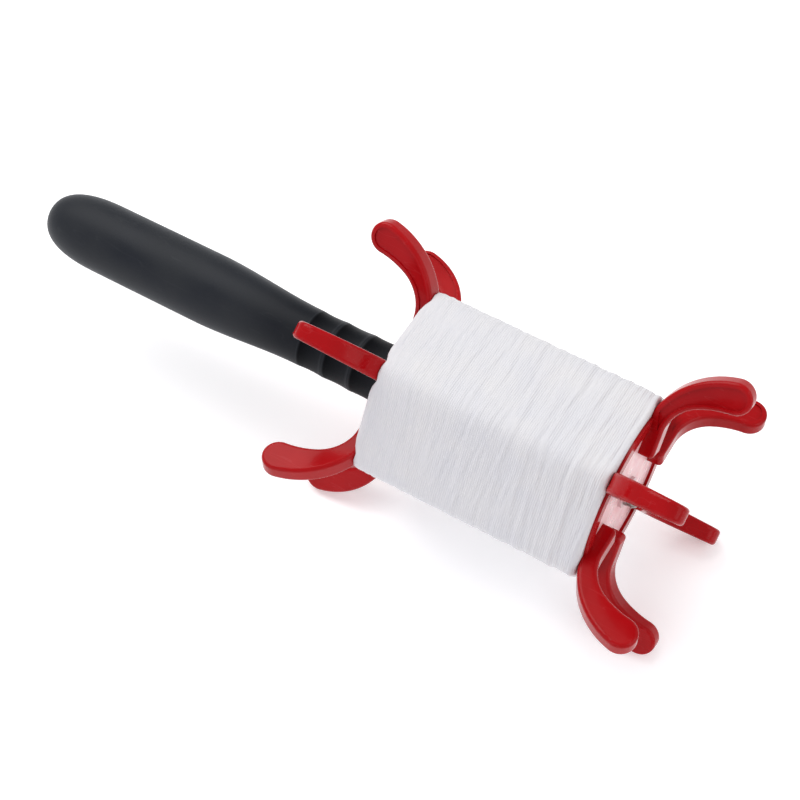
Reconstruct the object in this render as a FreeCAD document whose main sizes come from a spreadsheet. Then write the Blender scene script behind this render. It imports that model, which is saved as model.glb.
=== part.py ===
import FreeCAD, Part

import math
import os

import Sketcher
from FreeCAD import Placement, Rotation, Vector

# Kite line winder: a six horned reel, wound with line, that spins on a bat shaped handle.
# Every piece is drawn about the spin axis: X runs along the axle towards the reel's free
# end, zero at the middle of the reel. The placement then lays the winder on a table, on
# four horn tips, with one flat of the wound line facing down.

DIMENSIONS = {
    # drum, rims and end discs
    "drum_radius": 32.0,
    "drum_wall": 2.4,
    "floor_face": 50.1,
    "rim_stand": 1.3,
    "rim_wall": 5.4,
    "flange_web": 1.6,
    "disc_thickness": 2.5,
    "disc_lip": 1.5,
    "hub_wall": 3.5,
    "hub_depth": 12.1,
    # ribs that carry the line and horns that keep it on
    "rib_half": 3.0,
    "rib_height": 5.6,
    "rib_sink": 1.0,
    "rib_inset": 3.1,
    "horn_half": 4.6,
    "horn_half_end": 3.55,
    "horn_drop": 12.3,
    "horn_depth": 6.3,
    "horn_corner": 2.0,
    "cheek_rise": 3.4,
    "inner_arc": 17.3,
    "arc_rise": 0.4,
    "bend_out": 9.6,
    "outer_bend": 35.6,
    "tip_radius": 6.8,
    "tip_out": 21.2,
    "back_arc": 36.0,
    "horn_fillet": 1.5,
    "rim_flat": 0.7,
    "recess_depth": 0.6,
    # screws that join the halves
    "screw_along": 24.0,
    "screw_across": 15.0,
    "boss_wall": 1.3,
    "boss_length": 34.0,
    "head_gap": 0.4,
    "seat_depth": 6.0,
    "shank_gap": 0.2,
    "pilot_spare": 2.0,
    "screw_radius": 1.5,
    "screw_length": 18.0,
    "head_radius": 2.9,
    "head_height": 2.4,
    "socket_radius": 1.4,
    "socket_depth": 1.3,
    # axle, bushes, washers and nuts
    "axle_radius": 3.0,
    "axle_chamfer": 0.5,
    "axle_spare": 2.5,
    "running_gap": 0.05,
    "bush_wall": 2.0,
    "bush_flange_wall": 1.8,
    "bush_flange_thickness": 1.4,
    "end_gap": 0.3,
    "washer_thickness": 1.2,
    "washer_ring": 5.5,
    "front_washer_ring": 2.2,
    "dome_wall": 1.9,
    "dome_height": 4.5,
    "dome_crown": 1.8,
    "dome_round": 2.8,
    "nut_ring": 3.5,
    "nut_height": 5.0,
    "lock_washer_ring": 3.3,
    "lock_washer_thickness": 1.0,
    # handle
    "core_gap": 0.1,
    "core_wall": 3.0,
    "core_web": 112.0,
    "collar_step": 0.2,
    "collar_thickness": 2.5,
    "plug_length": 12.0,
    "mouth_rubber": 3.7,
    "shoulder_radius": 12.9,
    "shoulder_end": 108.0,
    "swell_round": 90.0,
    "swell_length": 42.0,
    "grip_radius": 15.8,
    "grip_length": 56.0,
    "butt_length": 29.8,
    "butt_radius": 12.3,
    "butt_flat": 0.9,
    "butt_rubber": 10.0,
    "groove_depth": 0.5,
    "groove_width": 10.2,
    "groove_lead": 9.4,
    "groove_count": 3,
    "ridge_width": 3.0,
    # wound line
    "line_diameter": 1.0,
    "wound_depth": 8.6,
    "wound_round": 8.0,
    "wound_edge": 3.5,
    "bore_gap": 0.07,
    "turn_count": 24,
    "end_bend": 1.2,
    "end_rise": 2.5,
}

# places and sizes that follow from the driving ones, each as a signed sum of their names
RIM_FACE = "floor_face rim_stand"
RIM_RADIUS = "drum_radius rim_wall"
DISC_BACK = "floor_face -disc_thickness"
DISC_SEAT = "drum_radius disc_lip"
FLANGE_BACK = DISC_BACK + " -flange_web"
HUB_END = "floor_face -hub_depth"
RIB_TOP = "drum_radius rib_height"
RIB_ROOT = "drum_radius -rib_sink"
RIB_END = "floor_face -rib_inset"
HORN_INNER = "drum_radius -horn_drop"
HORN_EDGE = "floor_face horn_depth"
CHEEK_TOP = RIM_RADIUS + " cheek_rise"
ARC_START = "drum_radius arc_rise"
INNER_BEND = HORN_EDGE + " bend_out"
TIP_REACH = HORN_EDGE + " tip_out"
HORN_END = TIP_REACH + " tip_radius"
RECESS_INSET = "horn_fillet rim_flat"
COUNTERBORE = "head_radius head_gap"
BOSS_RADIUS = COUNTERBORE + " boss_wall"
CLEARANCE_HOLE = "screw_radius shank_gap"
PILOT_DEPTH = "screw_length -seat_depth pilot_spare"
BUSH_BORE = "axle_radius running_gap"
BUSH_RADIUS = "axle_radius bush_wall"
BUSH_FLANGE = BUSH_RADIUS + " bush_flange_wall"
HUB_RADIUS = BUSH_RADIUS + " hub_wall"
BUSH_FACE = "floor_face bush_flange_thickness"
WASHER_FACE = BUSH_FACE + " end_gap"
NUT_FACE = WASHER_FACE + " washer_thickness"
DOME_END = NUT_FACE + " dome_height"
AXLE_FRONT = DOME_END + " -dome_crown"
DOME_RADIUS = "axle_radius dome_wall"
HANDLE_FACE = NUT_FACE + " collar_thickness"
LOCK_FACE = "core_web lock_washer_thickness"
NUT_BACK = LOCK_FACE + " nut_height"
AXLE_REAR = NUT_BACK + " axle_spare"
NUT_CORNER = "axle_radius nut_ring"
CORE_BORE = NUT_CORNER + " core_gap"
CORE_RADIUS = CORE_BORE + " core_wall"
MOUTH_RADIUS = CORE_RADIUS + " mouth_rubber"
COLLAR_RADIUS = MOUTH_RADIUS + " -collar_step"
GRIP_START = "shoulder_end swell_length"
GRIP_STOP = GRIP_START + " grip_length"
BUTT_END = GRIP_STOP + " butt_length"
CORE_END = BUTT_END + " -butt_rubber"
FIRST_GROOVE = "shoulder_end -groove_lead"
GROOVE_FLOOR = "shoulder_radius -groove_depth"
WOUND_CORNER = RIB_TOP + " wound_depth"

HORN_STEP = 60.0
REEL_LEAN = 30.0

doc = FreeCAD.newDocument("kite_line_winder")
sheet = doc.addObject("Spreadsheet::Sheet", "sizes")
for row, (alias, number) in enumerate(DIMENSIONS.items(), start=1):
    sheet.set("A%d" % row, alias)
    sheet.set("B%d" % row, str(number))
    sheet.setAlias("B%d" % row, alias)
doc.recompute()

ABOUT_X = Vector(1, 0, 0)


def measure(words):
    """Value and expression of a sum of sheet names, each with its sign."""
    total = 0.0
    expression = "0 mm"
    for word in words.split():
        name = word.lstrip("-")
        sign = -1 if word.startswith("-") else 1
        total += sign * float(sheet.get(name))
        expression += " %s sizes.%s * 1 mm" % ("-" if sign < 0 else "+", name)
    return total, expression


def value(words):
    """Value of a sum of sheet names."""
    return measure(words)[0]


def bind(thing, prop, words):
    """Set a size of an object from the sheet and keep it bound there."""
    thing.setExpression(prop, measure(words)[1])


def flip(words):
    """The same sum with every sign turned round."""
    return " ".join(word[1:] if word.startswith("-") else "-" + word for word in words.split())


def new_body(name):
    """A body with a label of its own."""
    body = doc.addObject("PartDesign::Body", name)
    body.Label = name
    return body


def plane(body, role):
    """One of the body's own origin planes."""
    for feature in body.Origin.OriginFeatures:
        if feature.Role == role:
            return feature
    raise ValueError(role)


def new_sketch(body, name, role):
    """An empty sketch on one of the body's origin planes."""
    sketch = body.newObject("Sketcher::SketchObject", name)
    sketch.AttachmentSupport = (plane(body, role), [""])
    sketch.MapMode = "FlatFace"
    return sketch


def hold(sketch, kind, words, *places):
    """A measured constraint whose value is a sum of sheet names."""
    number, expression = measure(words)
    index = sketch.addConstraint(Sketcher.Constraint(kind, *places, number))
    if words:
        sketch.setExpression("Constraints[%d]" % index, expression)


def hold_point(sketch, geometry, end, across, up):
    """Hold a point of a line, arc or circle at its distances from the origin."""
    hold(sketch, "DistanceX", across, -1, 1, geometry, end)
    hold(sketch, "DistanceY", up, -1, 1, geometry, end)


def add_polygon(sketch, corners):
    """Closed polygon through corners given as pairs of sums of sheet names."""
    first = sketch.GeometryCount
    points = [Vector(value(across), value(up), 0) for across, up in corners]
    count = len(points)
    for index in range(count):
        sketch.addGeometry(Part.LineSegment(points[index], points[(index + 1) % count]))
    for index in range(count):
        after = first + (index + 1) % count
        sketch.addConstraint(Sketcher.Constraint("Coincident", first + index, 2, after, 1))
    for index, (across, up) in enumerate(corners):
        hold_point(sketch, first + index, 1, across, up)


def revolve(body, name, corners, angle=360.0):
    """Turn a polygon, drawn along X and out from the axis, about the X axis."""
    sketch = new_sketch(body, name + "_outline", "XY_Plane")
    add_polygon(sketch, corners)
    turned = body.newObject("PartDesign::Revolution", name)
    turned.Profile = sketch
    turned.ReferenceAxis = (sketch, ["H_Axis"])
    turned.Angle = angle
    return turned


def round_edges(body, name, base, radius_words, wanted):
    """Fillet the edges that a test picks by where their middle lies."""
    doc.recompute()
    names = []
    for index, one in enumerate(base.Shape.Edges, start=1):
        middle = one.valueAt((one.FirstParameter + one.LastParameter) / 2)
        if wanted(one, middle):
            names.append("Edge%d" % index)
    if not names:
        raise ValueError(name + " finds no edge")
    fillet = body.newObject("PartDesign::Fillet", name)
    fillet.Base = (base, names)
    bind(fillet, "Radius", radius_words)
    return fillet


def ring_edge(position, radius):
    """Test for a full circle about the axle at a position along it and a radius."""
    def wanted(one, middle):
        near = abs(math.hypot(middle.y, middle.z) - radius) < 0.01
        return near and abs(middle.x - position) < 0.01 and len(one.Vertexes) == 1
    return wanted


def copy_of(source, name, placement):
    """The same piece again at another placement."""
    link = doc.addObject("App::Link", name)
    link.LinkedObject = source
    link.LinkPlacement = placement
    return link


def ring(name, start, stop, inner, outer):
    """Plain ring about the axle between two positions."""
    body = new_body(name)
    revolve(body, name + "_ring", [(start, inner), (stop, inner), (stop, outer), (start, outer)])
    return body


nodes = []


def keep(piece, name, lean=0.0):
    """Name a finished piece and remember how far it is turned about the axle."""
    piece.Label = name
    nodes.append((piece, name, lean))
    return piece


# horn: a flat blade that stands on the end face and sweeps up and out over the line
horn = new_body("horn_blade")
blade = new_sketch(horn, "horn_outline", "XZ_Plane")
inner_radius = value("inner_arc")
bend_radius = value("outer_bend")
tip_radius = value("tip_radius")
back_radius = value("back_arc")
inner_centre = Vector(value(HORN_EDGE + " inner_arc"), value(ARC_START), 0)
lift = math.acos((inner_centre.x - value(INNER_BEND)) / inner_radius)
bend_point = inner_centre + Vector(-math.cos(lift), math.sin(lift), 0) * inner_radius
bend_centre = bend_point + (inner_centre - bend_point) * (bend_radius / inner_radius)
tip_across = value(TIP_REACH) - bend_centre.x
tip_up = math.sqrt((bend_radius + tip_radius) ** 2 - tip_across ** 2)
tip_centre = bend_centre + Vector(tip_across, tip_up, 0)
touch_point = bend_centre + (tip_centre - bend_centre) * (bend_radius / (bend_radius + tip_radius))
cheek_point = Vector(value("floor_face"), value(CHEEK_TOP), 0)
span = tip_centre - cheek_point
inside = back_radius - tip_radius
along = (back_radius ** 2 - inside ** 2 + span.Length ** 2) / (2 * span.Length)
aside = math.sqrt(back_radius ** 2 - along ** 2)
unit = span / span.Length
back_centre = cheek_point + unit * along + Vector(unit.y, -unit.x, 0) * aside
leave_point = back_centre + (tip_centre - back_centre) * (back_radius / inside)
corner_radius = value("horn_corner")
corner_centre = Vector(value(HORN_EDGE) - corner_radius, value(HORN_INNER) + corner_radius, 0)
root = Vector(value("floor_face"), value(HORN_INNER), 0)
foot_end = corner_centre - Vector(0, corner_radius, 0)
foot_up = corner_centre + Vector(corner_radius, 0, 0)
edge_top = Vector(value(HORN_EDGE), value(ARC_START), 0)


def bearing(centre, point):
    """Angle of a point seen from a centre."""
    return math.atan2(point.y - centre.y, point.x - centre.x)


def add_arc(sketch, centre, start, end, turns_left):
    """Arc from start to end, and which of its own ends the path enters and leaves by."""
    first, last = (start, end) if turns_left else (end, start)
    from_angle = bearing(centre, first)
    to_angle = bearing(centre, last)
    if to_angle < from_angle:
        to_angle += 2 * math.pi
    full = Part.Circle(centre, Vector(0, 0, 1), (start - centre).Length)
    index = sketch.addGeometry(Part.ArcOfCircle(full, from_angle, to_angle))
    return (index, 1, 2) if turns_left else (index, 2, 1)


def add_line(sketch, start, end):
    """Line from start to end, with its own ends in path order."""
    return (sketch.addGeometry(Part.LineSegment(start, end)), 1, 2)


path = [
    add_line(blade, root, foot_end),
    add_arc(blade, corner_centre, foot_end, foot_up, True),
    add_line(blade, foot_up, edge_top),
    add_arc(blade, inner_centre, edge_top, bend_point, False),
    add_arc(blade, bend_centre, bend_point, touch_point, False),
    add_arc(blade, tip_centre, touch_point, leave_point, True),
    add_arc(blade, back_centre, leave_point, cheek_point, True),
    add_line(blade, cheek_point, root),
]
SMOOTH_JOINTS = 6
for index, piece in enumerate(path):
    after = path[(index + 1) % len(path)]
    kind = "Tangent" if index < SMOOTH_JOINTS else "Coincident"
    blade.addConstraint(Sketcher.Constraint(kind, piece[0], piece[2], after[0], after[1]))
blade.addConstraint(Sketcher.Constraint("Horizontal", 0))
for index in (2, 7):
    blade.addConstraint(Sketcher.Constraint("Vertical", index))
hold_point(blade, 0, 1, "floor_face", HORN_INNER)
hold(blade, "DistanceX", HORN_EDGE, -1, 1, 2, 1)
hold(blade, "DistanceY", ARC_START, -1, 1, 2, 2)
hold(blade, "Radius", "horn_corner", 1)
hold(blade, "Radius", "inner_arc", 3)
hold(blade, "Radius", "outer_bend", 4)
hold(blade, "Radius", "tip_radius", 5)
hold(blade, "Radius", "back_arc", 6)
hold(blade, "DistanceX", INNER_BEND, -1, 1, 3, path[3][2])
hold(blade, "DistanceX", TIP_REACH, -1, 1, 5, 3)
hold(blade, "DistanceY", CHEEK_TOP, -1, 1, 7, 1)
horn_pad = horn.newObject("PartDesign::Pad", "horn_plate")
horn_pad.Profile = blade
horn_pad.SideType = "Symmetric"
bind(horn_pad, "Length", "horn_half horn_half")
taper = new_sketch(horn, "horn_taper", "XY_Plane")
WELL_CLEAR = "horn_half horn_half"
for side in (str, flip):
    add_polygon(taper, [(FLANGE_BACK, side("horn_half")), (HORN_END, side("horn_half_end")),
                        (HORN_END, side(WELL_CLEAR)), (FLANGE_BACK, side(WELL_CLEAR))])
thin = horn.newObject("PartDesign::Pocket", "horn_thinning")
thin.Profile = taper
thin.Type = "ThroughAll"
thin.SideType = "Symmetric"


def blade_edge(one, middle):
    """Test for the outlines of the blade's two faces, clear of its root."""
    one_face = one.Vertexes[0].Y * one.Vertexes[-1].Y > 1.0
    return one_face and middle.x > value("floor_face") + 0.1


horn_round = round_edges(horn, "horn_rounding", thin, "horn_fillet", blade_edge)

# a shallow recess in one face of the blade, inside its outline and level with the tapered face
recess = new_sketch(horn, "recess_outline", "XZ_Plane")
recess.AttachmentOffset = Placement(Vector(), Rotation(Vector(0, 1, 0), 1.0))
face_slope = "((sizes.horn_half - sizes.horn_half_end) * 1 mm / (%s - (%s)))" % (
    measure(HORN_END)[1], measure(FLANGE_BACK)[1])
recess.setExpression("AttachmentOffset.Rotation.Angle", "atan(%s)" % face_slope)
recess_height = "(sizes.horn_half - sizes.recess_depth) * 1 mm + %s * (%s)"
recess.setExpression("AttachmentOffset.Base.z", recess_height % (face_slope, measure(FLANGE_BACK)[1]))
rim = value(RECESS_INSET)


def inset(centre, point, step):
    """A point moved away from the centre of its arc by a step."""
    return point + (point - centre).normalize() * step


recess_start = inset(inner_centre, edge_top, rim)
recess_bend = inset(bend_centre, bend_point, rim)
recess_touch = inset(bend_centre, touch_point, rim)
recess_leave = inset(back_centre, leave_point, -rim)
recess_across = value("floor_face " + RECESS_INSET) - back_centre.x
recess_up = math.sqrt((back_radius - rim) ** 2 - recess_across ** 2)
recess_stop = back_centre + Vector(recess_across, recess_up, 0)
recess_path = [
    add_arc(recess, inner_centre, recess_start, recess_bend, False),
    add_arc(recess, bend_centre, recess_bend, recess_touch, False),
    add_arc(recess, tip_centre, recess_touch, recess_leave, True),
    add_arc(recess, back_centre, recess_leave, recess_stop, True),
    add_line(recess, recess_stop, recess_start),
]
RECESS_SMOOTH = 3
for index, piece in enumerate(recess_path):
    after = recess_path[(index + 1) % len(recess_path)]
    kind = "Tangent" if index < RECESS_SMOOTH else "Coincident"
    recess.addConstraint(Sketcher.Constraint(kind, piece[0], piece[2], after[0], after[1]))
cheek = recess.addGeometry(Part.Point(cheek_point), True)
hold_point(recess, cheek, 1, "floor_face", CHEEK_TOP)
hold(recess, "Radius", "inner_arc " + RECESS_INSET, 0)
hold(recess, "Radius", "outer_bend " + RECESS_INSET, 1)
hold(recess, "Radius", "tip_radius " + flip(RECESS_INSET), 2)
hold(recess, "Radius", "back_arc " + flip(RECESS_INSET), 3)
hold(recess, "Distance", "back_arc", cheek, 1, 3, 3)
hold_point(recess, 0, 3, HORN_EDGE + " inner_arc", ARC_START)
hold(recess, "DistanceY", ARC_START, -1, 1, 4, 2)
bend_joint = recess.addConstraint(
    Sketcher.Constraint("DistanceX", -1, 1, 0, recess_path[0][2], recess_bend.x))
bend_place = "%s - (%s) * (sizes.inner_arc - sizes.bend_out) / sizes.inner_arc"
recess.setExpression("Constraints[%d]" % bend_joint,
                     bend_place % (measure(INNER_BEND)[1], measure(RECESS_INSET)[1]))
hold(recess, "DistanceX", TIP_REACH, -1, 1, 2, 3)
hold(recess, "DistanceX", "floor_face " + RECESS_INSET, -1, 1, 4, 1)
dished = horn.newObject("PartDesign::Pocket", "horn_recess")
dished.Profile = recess
dished.Reversed = True
bind(dished, "Length", WELL_CLEAR)

horn_rear = doc.addObject("Part::Mirroring", "horn_blade_rear")
horn_rear.Source = horn
horn_rear.Normal = ABOUT_X

# rib: the bar between two horns that the line is wound over
rib = new_body("line_rib")
rib_sketch = new_sketch(rib, "rib_outline", "YZ_Plane")
add_polygon(rib_sketch, [("-rib_half", RIB_ROOT), ("rib_half", RIB_ROOT),
                         ("rib_half", RIB_TOP), ("-rib_half", RIB_TOP)])
rib_pad = rib.newObject("PartDesign::Pad", "rib_bar")
rib_pad.Profile = rib_sketch
rib_pad.SideType = "Symmetric"
bind(rib_pad, "Length", RIB_END + " " + RIB_END)

# shell: half of the drum, with a rim at each end and a groove inside it for the end disc
shell = new_body("drum_shell")
front_side = [
    (DISC_BACK, "drum_radius -drum_wall"),
    (DISC_BACK, DISC_SEAT),
    ("floor_face", DISC_SEAT),
    ("floor_face", "drum_radius"),
    (RIM_FACE, "drum_radius"),
    (RIM_FACE, RIM_RADIUS),
    (FLANGE_BACK, RIM_RADIUS),
    (FLANGE_BACK, "drum_radius"),
]
rear_side = [(flip(across), up) for across, up in reversed(front_side)]
revolve(shell, "drum_wall", front_side + rear_side, 180.0)


def post(name, radius, across, start, length):
    """Cylinder that stands up from the parting plane at one screw position."""
    made = []
    for tag, along_words in (("front", "screw_along"), ("rear", "-screw_along")):
        one = doc.addObject("Part::Cylinder", "%s_%s" % (name, tag))
        bind(one, "Radius", radius)
        bind(one, "Height", length)
        bind(one, "Placement.Base.x", along_words)
        bind(one, "Placement.Base.y", across)
        bind(one, "Placement.Base.z", start)
        made.append(one)
    return made


boss_parts = post("boss_near", BOSS_RADIUS, "screw_across", "", "boss_length")
boss_parts += post("boss_far", BOSS_RADIUS, "-screw_across", "", "boss_length")
boss_group = doc.addObject("Part::MultiFuse", "bosses_long")
boss_group.Shapes = boss_parts
boss_limit = doc.addObject("Part::Cylinder", "boss_limit")
bind(boss_limit, "Radius", RIB_ROOT)
bind(boss_limit, "Height", FLANGE_BACK + " " + FLANGE_BACK)
boss_limit.Placement = Placement(Vector(), Rotation(Vector(0, 1, 0), 90))
bind(boss_limit, "Placement.Base.x", flip(FLANGE_BACK))
bosses = doc.addObject("Part::Common", "bosses")
bosses.Base = boss_group
bosses.Tool = boss_limit

hole_parts = post("clearance", CLEARANCE_HOLE, "screw_across", "", "boss_length")
hole_parts += post("seat", COUNTERBORE, "screw_across", "seat_depth", "boss_length")
hole_parts += post("pilot", "screw_radius", "-screw_across", "", PILOT_DEPTH)
holes = doc.addObject("Part::MultiFuse", "screw_holes")
holes.Shapes = hole_parts


def half(name, lean):
    """One moulded half of the reel: drum wall, three ribs, six horns and screw bosses."""
    shapes = [copy_of(shell, name + "_wall", Placement()), copy_of(bosses, name + "_bosses", Placement())]
    for index, step in enumerate((-HORN_STEP, 0.0, HORN_STEP), start=1):
        turn = Placement(Vector(), Rotation(ABOUT_X, step))
        shapes.append(copy_of(rib, "%s_rib_%d" % (name, index), turn))
        shapes.append(copy_of(horn, "%s_horn_%d" % (name, index), turn))
        rear = copy_of(horn_rear, "%s_rear_horn_%d" % (name, index), turn)
        shapes.append(rear)
    moulding = doc.addObject("Part::MultiFuse", name + "_moulding")
    moulding.Shapes = shapes
    drilled = doc.addObject("Part::Cut", name)
    drilled.Base = moulding
    drilled.Tool = copy_of(holes, name + "_holes", Placement())
    return keep(drilled, name, lean)


near_half = half("reel_half_near", REEL_LEAN)
far_half = half("reel_half_far", REEL_LEAN + 180.0)

# end discs: pale discs held in the grooves of both halves, each with a hub for its bush
for name, turn in (("front_end_disc", str), ("rear_end_disc", flip)):
    disc = new_body(name)
    corners = [
        (HUB_END, BUSH_RADIUS), ("floor_face", BUSH_RADIUS), ("floor_face", DISC_SEAT),
        (DISC_BACK, DISC_SEAT), (DISC_BACK, HUB_RADIUS), (HUB_END, HUB_RADIUS),
    ]
    revolve(disc, name + "_plate", [(turn(across), up) for across, up in corners])
    keep(disc, name)

# flanged bushes that run on the axle
for name, turn in (("front_bush", str), ("rear_bush", flip)):
    bush = new_body(name)
    corners = [
        (HUB_END, BUSH_BORE), (BUSH_FACE, BUSH_BORE), (BUSH_FACE, BUSH_FLANGE),
        ("floor_face", BUSH_FLANGE), ("floor_face", BUSH_RADIUS), (HUB_END, BUSH_RADIUS),
    ]
    revolve(bush, name + "_sleeve", [(turn(across), up) for across, up in corners])
    keep(bush, name)

# screws: two from each half into the other
screw = new_body("half_screw")
shank = revolve(screw, "screw_turned", [
    ("-screw_length", ""), ("-screw_length", "screw_radius"), ("", "screw_radius"), ("", "head_radius"),
    ("head_height", "head_radius"), ("head_height", "socket_radius"),
    ("head_height -socket_depth", "socket_radius"), ("head_height -socket_depth", ""),
])
screw_copies = []
for side, turned in ((1, 0.0), (-1, 180.0)):
    for end in (1, -1):
        seat = Vector(end * value("screw_along"), value("screw_across"), value("seat_depth"))
        upright = Placement(seat, Rotation(Vector(0, 1, 0), -90))
        whole = Placement(Vector(), Rotation(ABOUT_X, turned)).multiply(upright)
        screw_copies.append(copy_of(screw, "half_screw_%d" % (len(screw_copies) + 1), whole))
screws = doc.addObject("Part::Compound", "half_screws")
screws.Links = screw_copies
keep(screws, "half_screws", REEL_LEAN)

# axle, fixed in the handle, with the washers and nuts that hold it and the reel
axle = new_body("axle")
revolve(axle, "axle_rod", [
    (flip(AXLE_REAR), ""), (flip(AXLE_REAR), "axle_radius -axle_chamfer"),
    (flip(AXLE_REAR) + " axle_chamfer", "axle_radius"), (AXLE_FRONT + " -axle_chamfer", "axle_radius"),
    (AXLE_FRONT, "axle_radius -axle_chamfer"), (AXLE_FRONT, ""),
])
keep(axle, "axle")
front_ring = "axle_radius front_washer_ring"
rear_ring = "axle_radius washer_ring"
keep(ring("front_washer", WASHER_FACE, NUT_FACE, "axle_radius", front_ring), "front_washer")
keep(ring("rear_washer", flip(NUT_FACE), flip(WASHER_FACE), "axle_radius", rear_ring), "rear_washer")
keep(ring("handle_collar", flip(HANDLE_FACE), flip(NUT_FACE), "axle_radius", COLLAR_RADIUS), "handle_collar")

dome = new_body("dome_nut")
dome_turned = revolve(dome, "dome_turned", [
    (NUT_FACE, "axle_radius"), (AXLE_FRONT, "axle_radius"), (AXLE_FRONT, ""), (DOME_END, ""),
    (DOME_END, DOME_RADIUS), (NUT_FACE, DOME_RADIUS),
])
round_edges(dome, "dome_rounding", dome_turned, "dome_round", ring_edge(value(DOME_END), value(DOME_RADIUS)))
keep(dome, "dome_nut")

lock_ring = "axle_radius lock_washer_ring"
keep(ring("lock_washer", flip(LOCK_FACE), "-core_web", "axle_radius", lock_ring), "lock_washer")
nut = new_body("lock_nut")
nut_block = nut.newObject("PartDesign::AdditivePrism", "nut_hexagon")
nut_block.Polygon = 6
bind(nut_block, "Circumradius", NUT_CORNER)
bind(nut_block, "Height", "nut_height")
nut_block.AttachmentSupport = (plane(nut, "YZ_Plane"), [""])
nut_block.MapMode = "FlatFace"
bind(nut_block, "AttachmentOffset.Base.z", flip(NUT_BACK))
nut_bore = nut.newObject("PartDesign::SubtractiveCylinder", "nut_bore")
bind(nut_bore, "Radius", "axle_radius")
bind(nut_bore, "Height", "nut_height")
nut_bore.AttachmentSupport = (plane(nut, "YZ_Plane"), [""])
nut_bore.MapMode = "FlatFace"
bind(nut_bore, "AttachmentOffset.Base.z", flip(NUT_BACK))
keep(nut, "lock_nut")

# handle: a stiff tube inside a rubber grip, with a plug behind
core = new_body("handle_core")
revolve(core, "core_tube", [
    (flip(CORE_END), CORE_BORE), (flip(CORE_END), CORE_RADIUS), (flip(HANDLE_FACE), CORE_RADIUS),
    (flip(HANDLE_FACE), "axle_radius"), ("-core_web", "axle_radius"), ("-core_web", CORE_BORE),
])
keep(core, "handle_core")
plug = new_body("butt_plug")
revolve(plug, "plug_disc", [
    (flip(CORE_END), ""), (flip(CORE_END) + " plug_length", ""),
    (flip(CORE_END) + " plug_length", CORE_BORE), (flip(CORE_END), CORE_BORE),
])
keep(plug, "butt_plug")

grip = new_body("handle_grip")
grip_turned = revolve(grip, "grip_turned", [
    (flip(BUTT_END), ""), (flip(CORE_END), ""), (flip(CORE_END), CORE_RADIUS),
    (flip(HANDLE_FACE), CORE_RADIUS), (flip(HANDLE_FACE), MOUTH_RADIUS), ("-shoulder_end", "shoulder_radius"),
    (flip(GRIP_START), "grip_radius"), (flip(GRIP_STOP), "grip_radius"), (flip(BUTT_END), "butt_radius"),
])
grip_butt = round_edges(grip, "butt_rounding", grip_turned, "butt_radius -butt_flat",
                        ring_edge(value(flip(BUTT_END)), value("butt_radius")))
round_edges(grip, "swell_rounding", grip_butt, "swell_round",
            ring_edge(-value(GRIP_STOP), value("grip_radius")))
groove_sketch = new_sketch(grip, "groove_outline", "XY_Plane")
groove_end = flip(FIRST_GROOVE) + " groove_width"
add_polygon(groove_sketch, [
    (flip(FIRST_GROOVE), GROOVE_FLOOR), (groove_end, GROOVE_FLOOR),
    (groove_end, "grip_radius"), (flip(FIRST_GROOVE), "grip_radius"),
])
groove = grip.newObject("PartDesign::Groove", "neck_groove")
groove.Profile = groove_sketch
groove.ReferenceAxis = (groove_sketch, ["H_Axis"])
groove.Angle = 360.0
doc.recompute()
grooves = grip.newObject("PartDesign::LinearPattern", "neck_grooves")
grooves.Originals = [groove]
grooves.Direction = (groove_sketch, ["H_Axis"])
grooves.Mode = "Spacing"
bind(grooves, "Offset", "groove_width ridge_width")
grooves.Occurrences = int(value("groove_count"))
grip.Tip = grooves
keep(grip, "handle_grip")

# wound line: a plain six sided bundle over the ribs, under one outer layer of turns
bundle = new_body("line_core")
line_size = value("line_diameter")


def prism(kind, name, corner_expression, half_words):
    """Six sided block along X with a corner facing up, both ways from the middle."""
    block = bundle.newObject("PartDesign::" + kind, name)
    block.Polygon = 6
    block.setExpression("Circumradius", corner_expression)
    bind(block, "Height", half_words + " " + half_words)
    block.AttachmentSupport = (plane(bundle, "YZ_Plane"), [""])
    block.MapMode = "FlatFace"
    block.AttachmentOffset = Placement(Vector(), Rotation(Vector(0, 0, 1), 30))
    bind(block, "AttachmentOffset.Base.z", flip(half_words))
    return block


solid_bundle = prism("AdditivePrism", "bundle_block",
                     measure(WOUND_CORNER)[1] + " - sizes.line_diameter * 1 mm / cos(30 deg)", "floor_face")


def long_edge(one, middle):
    """Test for the straight corners of the bundle."""
    return abs(middle.x) < 1.0 and len(one.Vertexes) == 2


bundle_round = round_edges(bundle, "bundle_corners", solid_bundle, "wound_round -line_diameter", long_edge)


def end_edge(one, middle):
    """Test for the outlines of the bundle's two ends."""
    return abs(abs(middle.x) - value("floor_face")) < 0.01


bundle_soft = round_edges(bundle, "bundle_ends", bundle_round, "wound_edge", end_edge)
prism("SubtractivePrism", "bundle_bore",
      measure(RIB_TOP + " bore_gap")[1] + " + sizes.rib_half * 1 mm * tan(30 deg)", FLANGE_BACK)
for name, start in (("bundle_front_seat", FLANGE_BACK), ("bundle_rear_seat", "-floor_face")):
    seat = bundle.newObject("PartDesign::SubtractiveCylinder", name)
    bind(seat, "Radius", RIM_RADIUS)
    bind(seat, "Height", "disc_thickness flange_web")
    seat.AttachmentSupport = (plane(bundle, "YZ_Plane"), [""])
    seat.MapMode = "FlatFace"
    bind(seat, "AttachmentOffset.Base.z", start)
keep(bundle, "line_core", REEL_LEAN)


# outer layer: one tube that goes round the bundle turn after turn, from end to end
turns = int(value("turn_count"))
line_radius = line_size / 2
slant = math.cos(math.radians(HORN_STEP / 2))
path_corner = value(WOUND_CORNER) - line_radius / slant
path_round = value("wound_round") - line_radius
surface = value(WOUND_CORNER) * slant - line_size
run_half = value("floor_face -wound_edge") - line_radius
pitch = 2 * run_half / turns
CORNERS = 6


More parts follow.
